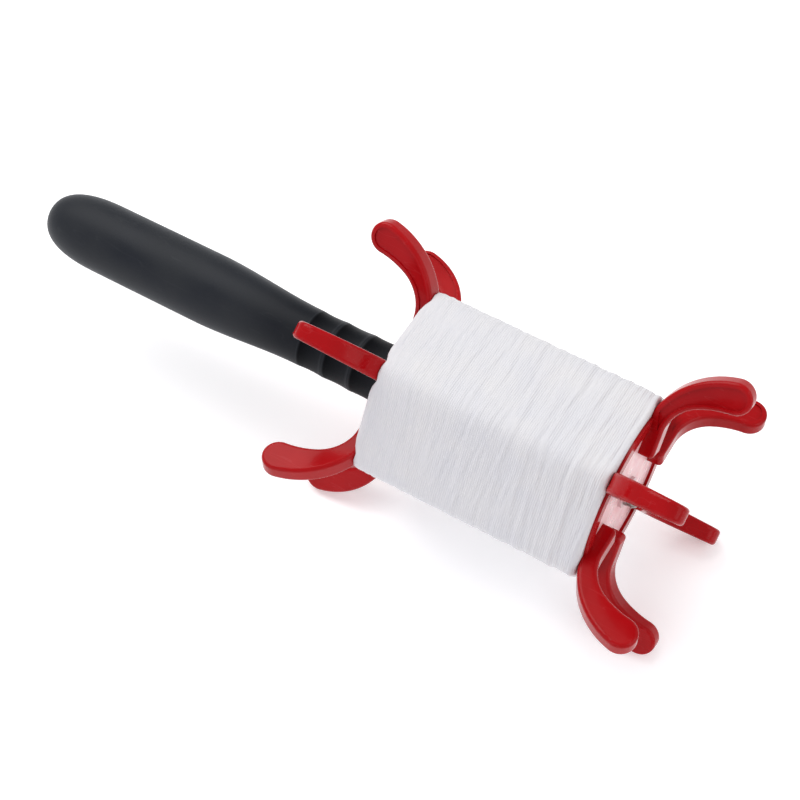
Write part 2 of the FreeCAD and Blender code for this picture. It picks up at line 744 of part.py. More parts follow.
def around(along, out, count):
    """Point at a position along the axle and out from it, so many corners round."""
    angle = math.radians(HORN_STEP * count)
    return Vector(along, out * math.sin(angle), out * math.cos(angle))


def tie_off(count, along):
    """Foot on the bundle and top of the short upright that ends the tube."""
    foot = around(along, surface, count)
    return foot, around(along, surface + value("end_rise"), count)


last = turns * CORNERS - 1
start_foot, start_top = tie_off(-0.5, -run_half)
end_foot, end_top = tie_off(last + 0.5, run_half)
route = [start_foot, start_top]
radii = [value("end_bend")]
for count in range(last + 1):
    route.append(around(-run_half + pitch * (count + 0.5) / CORNERS, path_corner, count))
    radii.append(path_round)
route += [end_top, end_foot]
radii.append(value("end_bend"))


def rounded_path(points, bends):
    """Straight runs through the points, joined by tangent arcs."""
    edges = []
    reached = points[0]
    for before, here, after, radius in zip(points, points[1:], points[2:], bends):
        back = (before - here).normalize()
        ahead = (after - here).normalize()
        half_angle = back.getAngle(ahead) / 2
        trim = radius / math.tan(half_angle)
        middle_way = (back + ahead).normalize()
        centre = here + middle_way * (radius / math.sin(half_angle))
        first = here + back * trim
        second = here + ahead * trim
        edges.append(Part.LineSegment(reached, first).toShape())
        edges.append(Part.Arc(first, centre - middle_way * radius, second).toShape())
        reached = second
    edges.append(Part.LineSegment(reached, points[-1]).toShape())
    return Part.Wire(edges)


thread = rounded_path(route, radii)
section = Part.Wire([Part.Circle(start_foot, start_top - start_foot, line_radius).toShape()])
tube = thread.makePipeShell([section], True, False)
expected = math.pi * line_radius ** 2 * thread.Length
print("turns: %d loops, path %.0f mm, volume %.1f of %.1f" % (turns, thread.Length, tube.Volume, expected))
SAMPLE_STEP = 2.0
samples = thread.discretize(Distance=SAMPLE_STEP)
one_turn = int(thread.Length / turns / SAMPLE_STEP)
least = min((samples[index] - samples[other]).Length
            for index in range(len(samples))
            for other in range(index + one_turn // 2, min(index + 3 * one_turn // 2, len(samples))))
print("turns: least gap to itself %.2f mm" % (least - line_size))
wound = doc.addObject("Part::Feature", "line_turns")
wound.Shape = tube
keep(wound, "line_turns", REEL_LEAN)
doc.recompute()

# the winder lies on its horn tips, centred over the origin
mesh_points = []
TOUCH_DETAIL = 0.02
for piece, name, lean in nodes:
    if piece in (near_half, far_half):
        turned = piece.Shape.copy()
        turned.rotate(Vector(), ABOUT_X, lean)
        mesh_points += turned.tessellate(TOUCH_DETAIL)[0]
sheet.set("C1", "axle_height")
sheet.set("D1", str(round(-min(point.z for point in mesh_points), 3)))
sheet.setAlias("D1", "axle_height")
doc.recompute()
for piece, name, lean in nodes:
    piece.Placement = Placement(Vector(), Rotation(ABOUT_X, lean))
    piece.setExpression("Placement.Base.x", "(%s - (%s)) / 2" % (measure(BUTT_END)[1], measure(HORN_END)[1]))
    piece.setExpression("Placement.Base.z", "sizes.axle_height * 1 mm")
doc.recompute()

for item in doc.Objects:
    if "Invalid" in item.State or "Error" in item.State:
        raise RuntimeError("%s did not compute" % item.Name)
for piece, name, lean in nodes:
    if piece.Shape.isNull() or not piece.Shape.isValid() or not piece.Shape.Solids:
        raise RuntimeError("%s has no sound solid" % name)
os.makedirs("parts", exist_ok=True)
resting = near_half.Placement.Base
print("axle %.3f mm above the table, reel's middle %.3f mm along" % (resting.z, resting.x))
for piece, name, lean in nodes:
    piece.Shape.exportStep("parts/%s.step" % name)
    box = piece.Shape.BoundBox
    print("%-16s %9.0f mm3  z %.2f to %.2f" % (name, piece.Shape.Volume, box.ZMin, box.ZMax))
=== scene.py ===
"""Looks of a kite line winder: a horned reel of white line on a bat shaped rubber handle."""
import math

import bpy
import numpy as np
from bpy.props import FloatProperty, FloatVectorProperty, PointerProperty
from mathutils import Euler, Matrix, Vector


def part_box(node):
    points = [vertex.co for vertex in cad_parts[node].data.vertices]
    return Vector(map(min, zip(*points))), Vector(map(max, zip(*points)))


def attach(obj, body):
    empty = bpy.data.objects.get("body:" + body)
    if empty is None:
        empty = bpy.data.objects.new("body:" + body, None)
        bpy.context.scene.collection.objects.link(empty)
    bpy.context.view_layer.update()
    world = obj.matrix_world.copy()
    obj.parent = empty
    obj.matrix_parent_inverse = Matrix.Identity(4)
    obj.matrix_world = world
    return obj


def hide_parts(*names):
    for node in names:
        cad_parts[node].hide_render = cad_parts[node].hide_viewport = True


bl_info = {
    "name": "Kite line winder",
    "version": (1, 0, 0),
    "blender": (4, 5, 0),
    "location": "View3D > Sidebar > Winder",
    "description": "Wound line, rubber grip, moulded plastic, steel and studio for a kite line winder",
    "category": "Object",
}

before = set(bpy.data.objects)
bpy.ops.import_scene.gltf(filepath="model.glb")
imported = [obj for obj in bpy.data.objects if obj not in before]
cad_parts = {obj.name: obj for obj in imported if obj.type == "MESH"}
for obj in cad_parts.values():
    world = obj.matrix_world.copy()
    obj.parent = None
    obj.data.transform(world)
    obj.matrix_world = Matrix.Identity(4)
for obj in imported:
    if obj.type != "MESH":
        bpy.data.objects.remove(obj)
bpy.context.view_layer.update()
CORE_LOW, CORE_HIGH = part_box("line_core")
REEL_MIDDLE = (CORE_LOW + CORE_HIGH) / 2

MM = 0.001
HORN_STEP = math.radians(60)
FIRST_HORN = math.radians(30)


# ---------------------------------------------------------------- settings

class WinderLineSettings(bpy.types.PropertyGroup):
    """Sizes and colours of the wound line."""
    corner: FloatProperty(
        name="Corner", description="Distance from the axle to a sharp corner of the wound bundle",
        default=0.0462, min=0.04, max=0.06, unit="LENGTH")
    corner_round: FloatProperty(
        name="Corner round", description="Radius of the bundle where the line goes over a rib",
        default=0.008, min=0.002, max=0.02, unit="LENGTH")
    half_length: FloatProperty(
        name="Half length", description="Half of the wound bundle's length along the axle",
        default=0.0501, min=0.03, max=0.06, unit="LENGTH")
    end_round: FloatProperty(
        name="End round", description="Radius of the bundle's edge at the two ends",
        default=0.0024, min=0.0005, max=0.006, unit="LENGTH")
    rim: FloatProperty(
        name="Rim", description="Radius of the reel's rim, which the bundle's ends sit on",
        default=0.03745, min=0.03, max=0.04, unit="LENGTH")
    bore_corner: FloatProperty(
        name="Bore corner", description="Distance from the axle to a corner of the bundle's bore",
        default=0.0394, min=0.03, max=0.042, unit="LENGTH")
    flange: FloatProperty(
        name="Flange", description="Where the reel's end flanges start, from the reel's middle",
        default=0.046, min=0.03, max=0.05, unit="LENGTH")
    flare: FloatProperty(
        name="Flare", description="How far the bundle spreads over the rim at the handle end",
        default=0.0023, min=0.0, max=0.004, unit="LENGTH")
    horn_clear: FloatProperty(
        name="Horn clearance", description="Half of the width that the spread leaves free for a horn",
        default=0.0052, min=0.003, max=0.01, unit="LENGTH")
    horn_back: FloatProperty(
        name="Horn back", description="Distance from the axle where a horn's back leaves the end face",
        default=0.0409, min=0.03, max=0.06, unit="LENGTH")
    pitch: FloatProperty(
        name="Pitch", description="Distance from one turn of line to the next",
        default=0.0009, min=0.0005, max=0.002, unit="LENGTH")
    thread_depth: FloatProperty(
        name="Thread depth", description="Depth of the valleys between turns",
        default=0.00015, min=0.0, max=0.0006, unit="LENGTH")
    wave_depth: FloatProperty(
        name="Wave depth", description="Height of the uneven bands of turns",
        default=0.0007, min=0.0, max=0.002, unit="LENGTH")
    cross_depth: FloatProperty(
        name="Cross depth", description="Height of the strands that cross the turns at a slant",
        default=0.0003, min=0.0, max=0.001, unit="LENGTH")
    colour: FloatVectorProperty(
        name="Colour", description="Colour of the line", subtype="COLOR", size=3,
        default=(0.722, 0.708, 0.700), min=0.0, max=1.0)
    # Painted shade: the bluish grey that the gaps between fibres, strands and turns take.
    valley_shade_colour: FloatVectorProperty(
        name="Valley colour", description="Colour between the turns", subtype="COLOR", size=3,
        default=(0.51, 0.515, 0.575), min=0.0, max=1.0)


class WinderGripSettings(bpy.types.PropertyGroup):
    """Sizes and colours of the rubber grip."""
    mouth: FloatProperty(
        name="Mouth", description="Where the grip starts, from the reel's middle",
        default=0.0555, min=0.05, max=0.07, unit="LENGTH")
    butt: FloatProperty(
        name="Butt", description="Where the grip ends, from the reel's middle",
        default=0.2358, min=0.2, max=0.26, unit="LENGTH")
    bore: FloatProperty(
        name="Bore", description="Radius of the grip's bore", default=0.0096, min=0.005, max=0.012,
        unit="LENGTH")
    bore_end: FloatProperty(
        name="Bore end", description="Where the bore ends, from the reel's middle",
        default=0.2258, min=0.2, max=0.23, unit="LENGTH")
    neck: FloatProperty(
        name="Neck", description="Radius of the grip's neck", default=0.0128, min=0.01, max=0.016,
        unit="LENGTH")
    body: FloatProperty(
        name="Body", description="Radius of the grip's thickest stretch", default=0.0158, min=0.012,
        max=0.02, unit="LENGTH")
    groove_depth: FloatProperty(
        name="Groove depth", description="Depth of the hollow grooves round the neck", default=0.00032,
        min=0.0, max=0.002, unit="LENGTH")
    colour: FloatVectorProperty(
        name="Colour", description="Colour of the rubber", subtype="COLOR", size=3,
        default=(0.0112, 0.0134, 0.0185), min=0.0, max=1.0)
    # Painted shade: the colour that the neck's grooves and the neck take where they are shaded.
    groove_shade_colour: FloatVectorProperty(
        name="Groove colour", description="Colour in the neck's grooves", subtype="COLOR", size=3,
        default=(0.002, 0.0022, 0.003), min=0.0, max=1.0)


class WinderPlasticSettings(bpy.types.PropertyGroup):
    """Colours of the moulded pieces."""
    red: FloatVectorProperty(
        name="Red", description="Colour of the reel's halves", subtype="COLOR", size=3,
        default=(0.38, 0.0042, 0.0065), min=0.0, max=1.0)
    deep_red: FloatVectorProperty(
        name="Deep red", description="Darker red where the moulding is thick", subtype="COLOR", size=3,
        default=(0.32, 0.0026, 0.0045), min=0.0, max=1.0)
    pale: FloatVectorProperty(
        name="Pale", description="Colour of the end discs", subtype="COLOR", size=3,
        default=(0.80, 0.53, 0.54), min=0.0, max=1.0)
    red_roughness: FloatProperty(
        name="Red roughness", description="Roughness of the red plastic", default=0.15, min=0.0,
        max=1.0, subtype="FACTOR")


class WinderStageSettings(bpy.types.PropertyGroup):
    """Camera, floor and light."""
    lens: FloatProperty(
        name="Lens", description="Focal length in millimetres on a 36 mm sensor", default=80.385,
        min=20.0, max=200.0)
    key_power: FloatProperty(
        name="Key power", description="Power of the large light above", default=15.0, min=0.0,
        max=200.0, unit="POWER")
    fill_power: FloatProperty(
        name="Fill power", description="Power of the side lights", default=4.0, min=0.0,
        max=200.0, unit="POWER")
    floor_colour: FloatVectorProperty(
        name="Floor colour", description="Colour of the floor", subtype="COLOR", size=3,
        default=(0.93, 0.93, 0.935), min=0.0, max=1.0)
    floor_glow: FloatProperty(
        name="Floor glow", description="Light that the lit table gives of itself", default=0.3,
        min=0.0, max=2.0)
    floor_size: FloatProperty(
        name="Floor size", description="Length of the floor's sides", default=8.0, min=1.0,
        max=50.0, unit="LENGTH")


# ---------------------------------------------------------------- meshes

def grid_faces(rings, columns, close_rings):
    """Quads of a grid whose columns wrap round, and whose rings wrap round too if asked.

    Returns the faces' corner numbers, and the ring and unwrapped column of each corner.
    """
    ring = np.arange(rings if close_rings else rings - 1)
    column = np.arange(columns)
    first, second = np.meshgrid(ring, column, indexing="ij")
    rows = np.stack([first, first + 1, first + 1, first], axis=-1)
    cols = np.stack([second, second, second + 1, second + 1], axis=-1)
    faces = (rows % rings) * columns + cols % columns
    return faces.reshape(-1, 4), (rows % rings).reshape(-1), cols.reshape(-1)


def signed_volume(points, faces):
    """Volume that the faces close in, below zero where they face inwards."""
    corners = points[faces]
    first = np.cross(corners[:, 1], corners[:, 2])
    second = np.cross(corners[:, 2], corners[:, 3])
    return float(np.sum(corners[:, 0] * (first + second)) / 6)


def surface_piece(name, points, faces, poles=()):
    """Mesh object from points and quads, facing outwards, with each pole closed by a fan of triangles.

    A pole is a pair of the point in its middle and the numbers of the ring round it.
    """
    if signed_volume(points - points.mean(axis=0), faces) < 0:
        raise ValueError(name + " faces inwards")
    total = faces.tolist()
    corners = points.tolist()
    for middle, ring in poles:
        total += np.column_stack([ring, np.roll(ring, -1), np.full(len(ring), len(corners))]).tolist()
        corners.append(middle)
    mesh = bpy.data.meshes.new(name)
    mesh.from_pydata(corners, [], total)
    mesh.polygons.foreach_set("use_smooth", np.ones(len(mesh.polygons), dtype=bool))
    mesh.update()
    piece = bpy.data.objects.new(name, mesh)
    bpy.context.scene.collection.objects.link(piece)
    return piece


def smooth_step(value):
    """0 below 0 and 1 above 1, with a smooth rise as 3 t^2 - 2 t^3."""
    clipped = np.clip(value, 0, 1)
    return clipped * clipped * (3 - 2 * clipped)


def rounded_hexagon(angle, corner, bend):
    """Radius of a rounded hexagon in each direction.

    With d the angle from the nearest corner, the radius is that of the flat, apothem / cos(30 deg - d),
    or near the corner that of the bend's circle, whose middle is (apothem - bend) / cos(30 deg) out.
    """
    half = HORN_STEP / 2
    apothem = corner * math.cos(half)
    middle = (apothem - bend) / math.cos(half)
    limit = math.atan2(bend * math.sin(half), middle + bend * math.cos(half))
    away = np.abs((angle - FIRST_HORN + half) % HORN_STEP - half)
    flat = apothem / np.cos(half - away)
    inside = np.clip(bend ** 2 - (middle * np.sin(away)) ** 2, 0, None)
    curved = middle * np.cos(away) + np.sqrt(inside)
    return np.where(away < limit, curved, flat)


# Each wave goes round the bundle with the turns: length along the axle, turns per round, phase and weight.
BANDS = ((0.0074, 1, 0.3, 0.50), (0.0107, -1, 2.2, 0.40), (0.0049, 2, 4.1, 0.32),
         (0.0031, -2, 1.1, 0.16), (0.0193, 0, 0.9, 0.35), (0.0023, 3, 5.2, 0.10))
# Strands that cross the turns: length along the axle, turns per round, phase and the lay they go with.
CROSSINGS = ((0.0031, 14, 0.2, 1), (0.0043, 9, 3.1, 1), (0.0027, -16, 1.7, -1), (0.0039, -11, 4.4, -1))


def winding_relief(along, angle, settings):
    """How far the outer layer stands in from the bundle's outline, and how deep a point lies between turns.

    Two lays of turns, one leaning each way, are cosines of along / pitch less a whole number of turns per
    round; a slow pattern picks the one on top. Uneven bands are a sum of longer cosines along the axle, and
    grow towards the free end. Crossing strands are cosines with many turns per round.
    """
    turn = 2 * math.pi
    round_part = angle / turn
    lean_one = np.cos(turn * (along / settings.pitch - 2 * round_part))
    lean_two = np.cos(turn * (along / settings.pitch + 7 * round_part) + 0.8)
    patches = (np.sin(along / 0.0083 + 2 * angle + 0.4) + np.sin(along / 0.0131 - 3 * angle + 2.1)
               + 0.8 * np.sin(along / 0.0049 + 5 * angle + 1.3))
    upper = 1 / (1 + np.exp(-5 * patches))
    threads = upper * lean_one + (1 - upper) * lean_two
    bands = np.zeros_like(along)
    for length, turns, phase, weight in BANDS:
        bands += weight * np.cos(turn * (along / length + turns * round_part) + phase)
    grow = 0.6 + 0.4 * along / settings.half_length
    cross = np.zeros_like(along)
    for length, turns, phase, side in CROSSINGS:
        share = 0.5 + 0.5 * side * (2 * upper - 1)
        cross += share * np.cos(turn * (along / length + turns * round_part) + phase)
    relief = (settings.thread_depth / 2 * (threads - 1) + settings.wave_depth * grow * (bands - 0.9) / 2
              + settings.cross_depth * (cross - 2) / 4)
    return relief, (1 - threads) / 2


RIM_TOUCH = 0.0001
BESIDE_RUN = 0.004
BACK_RUN = 0.0055


def rear_flare(along, out, angle, settings):
    """How far the bundle's rear end spreads past its plain length, over the rim and past the horns' backs.

    It grows over the last centimetre as a smooth step. Between horns it is whole; at a horn it starts where
    the horn's back leaves the end face and grows with the distance from the axle.
    """
    near_end = smooth_step((-along / settings.half_length - 0.8) / 0.2) * (out > settings.rim + RIM_TOUCH)
    half = HORN_STEP / 2
    away = np.abs((angle - FIRST_HORN + half) % HORN_STEP - half)
    beside = smooth_step((away * settings.corner - settings.horn_clear) / BESIDE_RUN)
    past_back = np.clip((out - settings.horn_back) / BACK_RUN, 0, 1)
    return settings.flare * near_end * np.maximum(beside, past_back)


SEAT_GAP = 0.00015
FLANGE_GAP = 0.0001
BORE_BEND = 0.0005
LINE_COLUMNS = 90
SAMPLES_PER_TURN = 7


def wound_line(settings):
    """The whole bundle of line: a ring of rounded hexagon section with both lays of turns on its outside.

    The surface is a closed path in (along, out), carried round the axle. The path runs through the bore,
    up the front seat, over the front edge as a quarter ellipse, back over the turns, and down the rear.
    """
    columns = LINE_COLUMNS
    angle = np.arange(columns + 1) * (2 * math.pi / columns)
    half = settings.half_length
    edge = settings.end_round
    outline = rounded_hexagon(angle, settings.corner, settings.corner_round)
    seat = np.full_like(angle, settings.rim)
    bore = rounded_hexagon(angle, settings.bore_corner, BORE_BEND)
    shoulder = np.maximum(outline - edge, settings.rim + SEAT_GAP)
    flange = settings.flange - FLANGE_GAP

    path = [(-flange / 3, bore, 0.0), (flange / 3, bore, 0.0), (flange, bore, 0.0), (flange, seat, 0.0),
            (half, seat, 0.0), (half, shoulder, 0.0)]
    arc = np.radians(np.linspace(15, 90, 6))
    for step in arc:
        path.append((half - edge * (1 - math.cos(step)), shoulder + (outline - shoulder) * math.sin(step),
                     math.sin(step) ** 2))
    run = half - edge
    count = int(round(2 * run / settings.pitch * SAMPLES_PER_TURN))
    for along in np.linspace(run, -run, count)[1:-1]:
        path.append((along, outline, 1.0))
    for step in arc[::-1]:
        path.append((edge * (1 - math.cos(step)) - half, shoulder + (outline - shoulder) * math.sin(step),
                     math.sin(step) ** 2))
    path += [(-half, shoulder, 0.0), (-half, seat, 0.0), (-flange, seat, 0.0), (-flange, bore, 0.0)]

    along = np.array([place for place, _, _ in path])[:, None] + np.zeros(columns + 1)
    out = np.array([radii for _, radii, _ in path])
    along = along - rear_flare(along, out, angle, settings)
    weight = np.array([share for _, _, share in path])[:, None]
    relief, valley = winding_relief(along, angle[None, :] + np.zeros_like(along), settings)
    out = out + relief * weight

    points = np.stack([
        REEL_MIDDLE.x + along,
        REEL_MIDDLE.y + out * np.sin(angle),
        REEL_MIDDLE.z + out * np.cos(angle),
    ], axis=-1)[:, :columns].reshape(-1, 3)
    faces, rows, cols = grid_faces(len(path), columns, True)
    if signed_volume(points - points.mean(axis=0), faces) < 0:
        faces = faces[:, ::-1]
        rows = rows.reshape(-1, 4)[:, ::-1].reshape(-1)
        cols = cols.reshape(-1, 4)[:, ::-1].reshape(-1)
    piece = surface_piece("wound_line", points, faces)

    lengths = np.concatenate([[0], np.cumsum(np.hypot(np.diff(outline * np.sin(angle)),
                                                      np.diff(outline * np.cos(angle))))])
    layer = piece.data.uv_layers.new(name="lay")
    places = np.stack([lengths[cols], along[:, 0][rows]], axis=-1) * 10
    layer.data.foreach_set("uv", places.reshape(-1).astype(np.float32))
    # How deep each point lies between turns, which the line's finish turns into painted shade.
    shade = piece.data.attributes.new("valley", "FLOAT", "POINT")
    shade.data.foreach_set("value", (valley * weight)[:, :columns].reshape(-1).astype(np.float32))
    return piece


# Places and lengths on the grip, from the reel's middle towards the butt.
GROOVES = ((0.0604, 0.0733), (0.0740, 0.0865), (0.0872, 0.0992))
SWELL_START = 0.100
SWELL_RUN = 0.052
FLARE_HEIGHT = 0.0007
FLARE_RUN = 0.012
LIP_HEIGHT = 0.0006
LIP_RUN = 0.0012
BUTT_RUN = 0.031
NECK_END = 0.112
# Share of painted shade over the neck, and the run over which it fades where the neck swells.
NECK_SHADE = 0.4
NECK_SHADE_RUN = 0.035


def groove_dip(back):
    """How deep a place lies in the neck's hollow grooves, as 1 - (2 t - 1)^2 over each, and its t.

    Here t runs from 0 at the reel's side of a groove to 1 at the handle's side. Both are 0 elsewhere.
    """
    dip = np.zeros_like(back)
    reach = np.zeros_like(back)
    for near, far in GROOVES:
        share = np.clip((back - near) / (far - near), 0, 1)
        hollow = 1 - (2 * share - 1) ** 2
        dip += hollow
        reach += np.where(hollow > 0, share, 0)
    return dip, reach


def grip_outline(back, settings):
    """Radius of the grip at distances behind the reel's middle.

    The neck swells to the body as a smooth step, flares at its mouth as an exponential, and closes at the
    butt as (1 - t^2.5)^0.366, with t from 0 where the butt starts to 1 at its end. Grooves are cut in.
    """
    swell = settings.neck + (settings.body - settings.neck) * smooth_step((back - SWELL_START) / SWELL_RUN)
    flare = FLARE_HEIGHT * np.exp(-(back - settings.mouth) / FLARE_RUN)
    butt_start = settings.butt - BUTT_RUN
    closing = np.clip((back - butt_start) / (settings.butt - butt_start), 0, 1)
    rounding = (1 - closing ** 2.5) ** 0.366
    lip = LIP_HEIGHT * (1 - smooth_step((back - settings.mouth) / LIP_RUN))
    dip, _ = groove_dip(back)
    return (swell + flare - settings.groove_depth * dip - lip) * rounding


def rubber_grip(settings):
    """The grip: one profile turned about the axle, with a bore that ends in the butt.

    The profile runs from the bore's blind end to the mouth and back over the outside to the butt. The
    attribute "groove" holds painted shade: 1 where the shade is darkest, in the grooves, more so towards
    each groove's handle side, and part of that over the neck.
    """
    columns = 144
    angle = np.arange(columns) * (2 * math.pi / columns)
    neck_run = np.linspace(settings.mouth, NECK_END, 190)
    body_run = np.linspace(NECK_END, settings.butt - BUTT_RUN, 70)[1:]
    swing = np.linspace(0, math.pi / 2, 40)[1:-1]
    butt_run = settings.butt - BUTT_RUN * (1 - np.sin(swing))
    outside = np.concatenate([neck_run, body_run, butt_run])
    outer = grip_outline(outside, settings)
    inside = np.array([settings.bore_end, settings.bore_end - 0.0002, 0.18, 0.12, settings.mouth + 0.0003,
                       settings.mouth])
    inner = np.array([settings.bore - 0.0002] + [settings.bore] * 4 + [settings.bore + 0.0003])
    back = np.concatenate([inside, outside])
    radius = np.concatenate([inner, outer])
    out = np.repeat(radius[:, None], columns, axis=1)
    points = np.stack([
        REEL_MIDDLE.x - np.repeat(back[:, None], columns, axis=1),
        REEL_MIDDLE.y + out * np.sin(angle),
        REEL_MIDDLE.z + out * np.cos(angle),
    ], axis=-1).reshape(-1, 3)
    faces, _, _ = grid_faces(len(back), columns, False)
    last = (len(back) - 1) * columns
    start_ring = list(range(columns))
    end_ring = list(range(last, last + columns))
    if signed_volume(points - points.mean(axis=0), faces) < 0:
        faces = faces[:, ::-1]
        start_ring.reverse()
    else:
        end_ring.reverse()
    start = [REEL_MIDDLE.x - settings.bore_end, REEL_MIDDLE.y, REEL_MIDDLE.z]
    end = [REEL_MIDDLE.x - settings.butt, REEL_MIDDLE.y, REEL_MIDDLE.z]
    piece = surface_piece("rubber_grip", points, faces, [(start, start_ring), (end, end_ring)])
    # Painted shade in a point attribute: in the grooves, darkest towards each groove's handle side, and a
    # fading share over the neck.
    shade = piece.data.attributes.new("groove", "FLOAT", "POINT")
    dip, reach = groove_dip(back)
    shaded = NECK_SHADE * (1 - smooth_step((back - SWELL_START) / NECK_SHADE_RUN))
    dark = np.maximum(np.clip(3 * dip, 0, 1) * (0.5 + 0.5 * reach), shaded * (dip == 0))
    values = np.concatenate([np.repeat(dark, columns), [0.0, 0.0]])
    values[:len(inside) * columns] = 0
    shade.data.foreach_set("value", values.astype(np.float32))
    return piece


# ---------------------------------------------------------------- materials

def link(tree, source, target):
    """Join two sockets."""
    tree.links.new(source, target)


def add_node(tree, kind, **values):
    """A node with some of its inputs set by name."""
    node = tree.nodes.new(kind)
    for name, value in values.items():
        node.inputs[name.replace("_", " ")].default_value = value
    return node


def group_sockets(group, inputs, outputs):
    """Named sockets of a shader node group."""
    for name, kind, value in inputs:
        socket = group.interface.new_socket(name, in_out="INPUT", socket_type=kind)
        if value is not None:
            socket.default_value = value
    for name in outputs:
        group.interface.new_socket(name, in_out="OUTPUT", socket_type="NodeSocketFloat")


def grain_group():
    """Group: fine grain as a height, and slow patches from 0 to 1, from two noises of the position."""
    group = bpy.data.node_groups.new("surface_grain", "ShaderNodeTree")
    group_sockets(group, [("Vector", "NodeSocketVector", None), ("Fine Scale", "NodeSocketFloat", 2000.0),
                          ("Patch Scale", "NodeSocketFloat", 60.0)], ["Height", "Patches"])
    start = group.nodes.new("NodeGroupInput")
    end = group.nodes.new("NodeGroupOutput")
    fine = add_node(group, "ShaderNodeTexNoise", Detail=3.0, Roughness=0.6)
    slow = add_node(group, "ShaderNodeTexNoise", Detail=4.0, Roughness=0.55)
    spread = add_node(group, "ShaderNodeMapRange", From_Min=0.35, From_Max=0.65)
    link(group, start.outputs["Vector"], fine.inputs["Vector"])
    link(group, start.outputs["Vector"], slow.inputs["Vector"])
    link(group, start.outputs["Fine Scale"], fine.inputs["Scale"])
    link(group, start.outputs["Patch Scale"], slow.inputs["Scale"])
    link(group, fine.outputs["Fac"], end.inputs["Height"])
    link(group, slow.outputs["Fac"], spread.inputs["Value"])
    link(group, spread.outputs["Result"], end.inputs["Patches"])
    return group


def scuff_group():
    """Group: thin scuffs from 0 to 1, where a noise drawn out along the object comes close to one value."""
    group = bpy.data.node_groups.new("fine_scuffs", "ShaderNodeTree")
    group_sockets(group, [("Vector", "NodeSocketVector", None), ("Scale", "NodeSocketFloat", 90.0),
                          ("Width", "NodeSocketFloat", 0.01)], ["Scuffs"])
    start = group.nodes.new("NodeGroupInput")
    end = group.nodes.new("NodeGroupOutput")
    stretch = group.nodes.new("ShaderNodeMapping")
    stretch.inputs["Rotation"].default_value = (0.3, 0.5, 0.4)
    stretch.inputs["Scale"].default_value = (0.25, 1.6, 2.2)
    noise = add_node(group, "ShaderNodeTexNoise", Detail=2.0, Roughness=0.5)
    near = group.nodes.new("ShaderNodeMath")
    near.operation = "COMPARE"
    near.inputs[1].default_value = 0.47
    link(group, start.outputs["Vector"], stretch.inputs["Vector"])
    link(group, stretch.outputs["Vector"], noise.inputs["Vector"])
    link(group, start.outputs["Scale"], noise.inputs["Scale"])
    link(group, noise.outputs["Fac"], near.inputs[0])
    link(group, start.outputs["Width"], near.inputs[2])
    link(group, near.outputs["Value"], end.inputs["Scuffs"])
    return group


GROUP_MAKERS = {"surface_grain": grain_group, "fine_scuffs": scuff_group}


def place_group(tree, name, **values):
    """A shared group in a material, made the first time it is asked for."""
    group = bpy.data.node_groups.get(name) or GROUP_MAKERS[name]()
    node = tree.nodes.new("ShaderNodeGroup")
    node.node_tree = group
    for socket, value in values.items():
        node.inputs[socket.replace("_", " ")].default_value = value
    return node


def new_finish(name, **values):
    """A material, its tree and its shader, with even values set on the shader's own sockets."""
    material = bpy.data.materials.new(name)
    material.use_nodes = True
    tree = material.node_tree
    shader = tree.nodes["Principled BSDF"]
    for socket, value in values.items():
        shader.inputs[socket.replace("_", " ")].default_value = value
    return material, tree, shader


def object_place(tree):
    """Object coordinates."""
    return tree.nodes.new("ShaderNodeTexCoord").outputs["Object"]


def tinted(colour, factors):
    """A colour with each of its values times a factor."""
    return tuple(value * factor for value, factor in zip(colour, factors))


def mix_colours(tree, share, one, other):
    """Colour that goes from one to the other as share goes from 0 to 1."""
    node = tree.nodes.new("ShaderNodeMix")
    node.data_type = "RGBA"
    for index, colour in ((6, one), (7, other)):
        if isinstance(colour, bpy.types.NodeSocket):
            link(tree, colour, node.inputs[index])
        else:
            node.inputs[index].default_value = (*colour, 1.0)
    link(tree, share, node.inputs[0])
    return node.outputs[2]


def spread_value(tree, value, low, high):
    """A value from 0 to 1 spread between two numbers."""
    node = add_node(tree, "ShaderNodeMapRange", To_Min=low, To_Max=high)
    link(tree, value, node.inputs["Value"])
    return node.outputs["Result"]


def add_bump(tree, shader, height, distance, strength, before=None):
    """Bump from a height onto the shader's normal, over another bump if one is given."""
    bump = add_node(tree, "ShaderNodeBump", Distance=distance, Strength=strength)
    link(tree, height, bump.inputs["Height"])
    if before:
        link(tree, before.outputs["Normal"], bump.inputs["Normal"])
    link(tree, bump.outputs["Normal"], shader.inputs["Normal"])
    return bump


def red_plastic(settings):
    """Glossy moulded plastic between two reds, with a slightly rippled skin and faint scuffs."""
    material, tree, shader = new_finish(
        "red_moulding", IOR=1.5, Specular_IOR_Level=0.1, Coat_Weight=0.06, Coat_Roughness=0.05,
        Subsurface_Weight=0.03, Subsurface_Scale=0.002)
    shader.inputs["Subsurface Radius"].default_value = (1.0, 0.25, 0.2)
    place = object_place(tree)
    grain = place_group(tree, "surface_grain", Fine_Scale=900.0, Patch_Scale=45.0)
    scuffs = place_group(tree, "fine_scuffs", Scale=110.0, Width=0.006)
    link(tree, place, grain.inputs["Vector"])
    link(tree, place, scuffs.inputs["Vector"])
    body = mix_colours(tree, grain.outputs["Patches"], settings.deep_red, settings.red)
    worn = mix_colours(tree, spread_value(tree, scuffs.outputs["Scuffs"], 0.0, 0.08), body,
                       (0.62, 0.10, 0.11))
    link(tree, worn, shader.inputs["Base Color"])
    rough = settings.red_roughness
    link(tree, spread_value(tree, grain.outputs["Patches"], rough - 0.04, rough + 0.05),
         shader.inputs["Roughness"])
    ripple = add_bump(tree, shader, grain.outputs["Patches"], 0.00004, 0.3)
    add_bump(tree, shader, grain.outputs["Height"], 0.00002, 0.3, ripple)
    return material


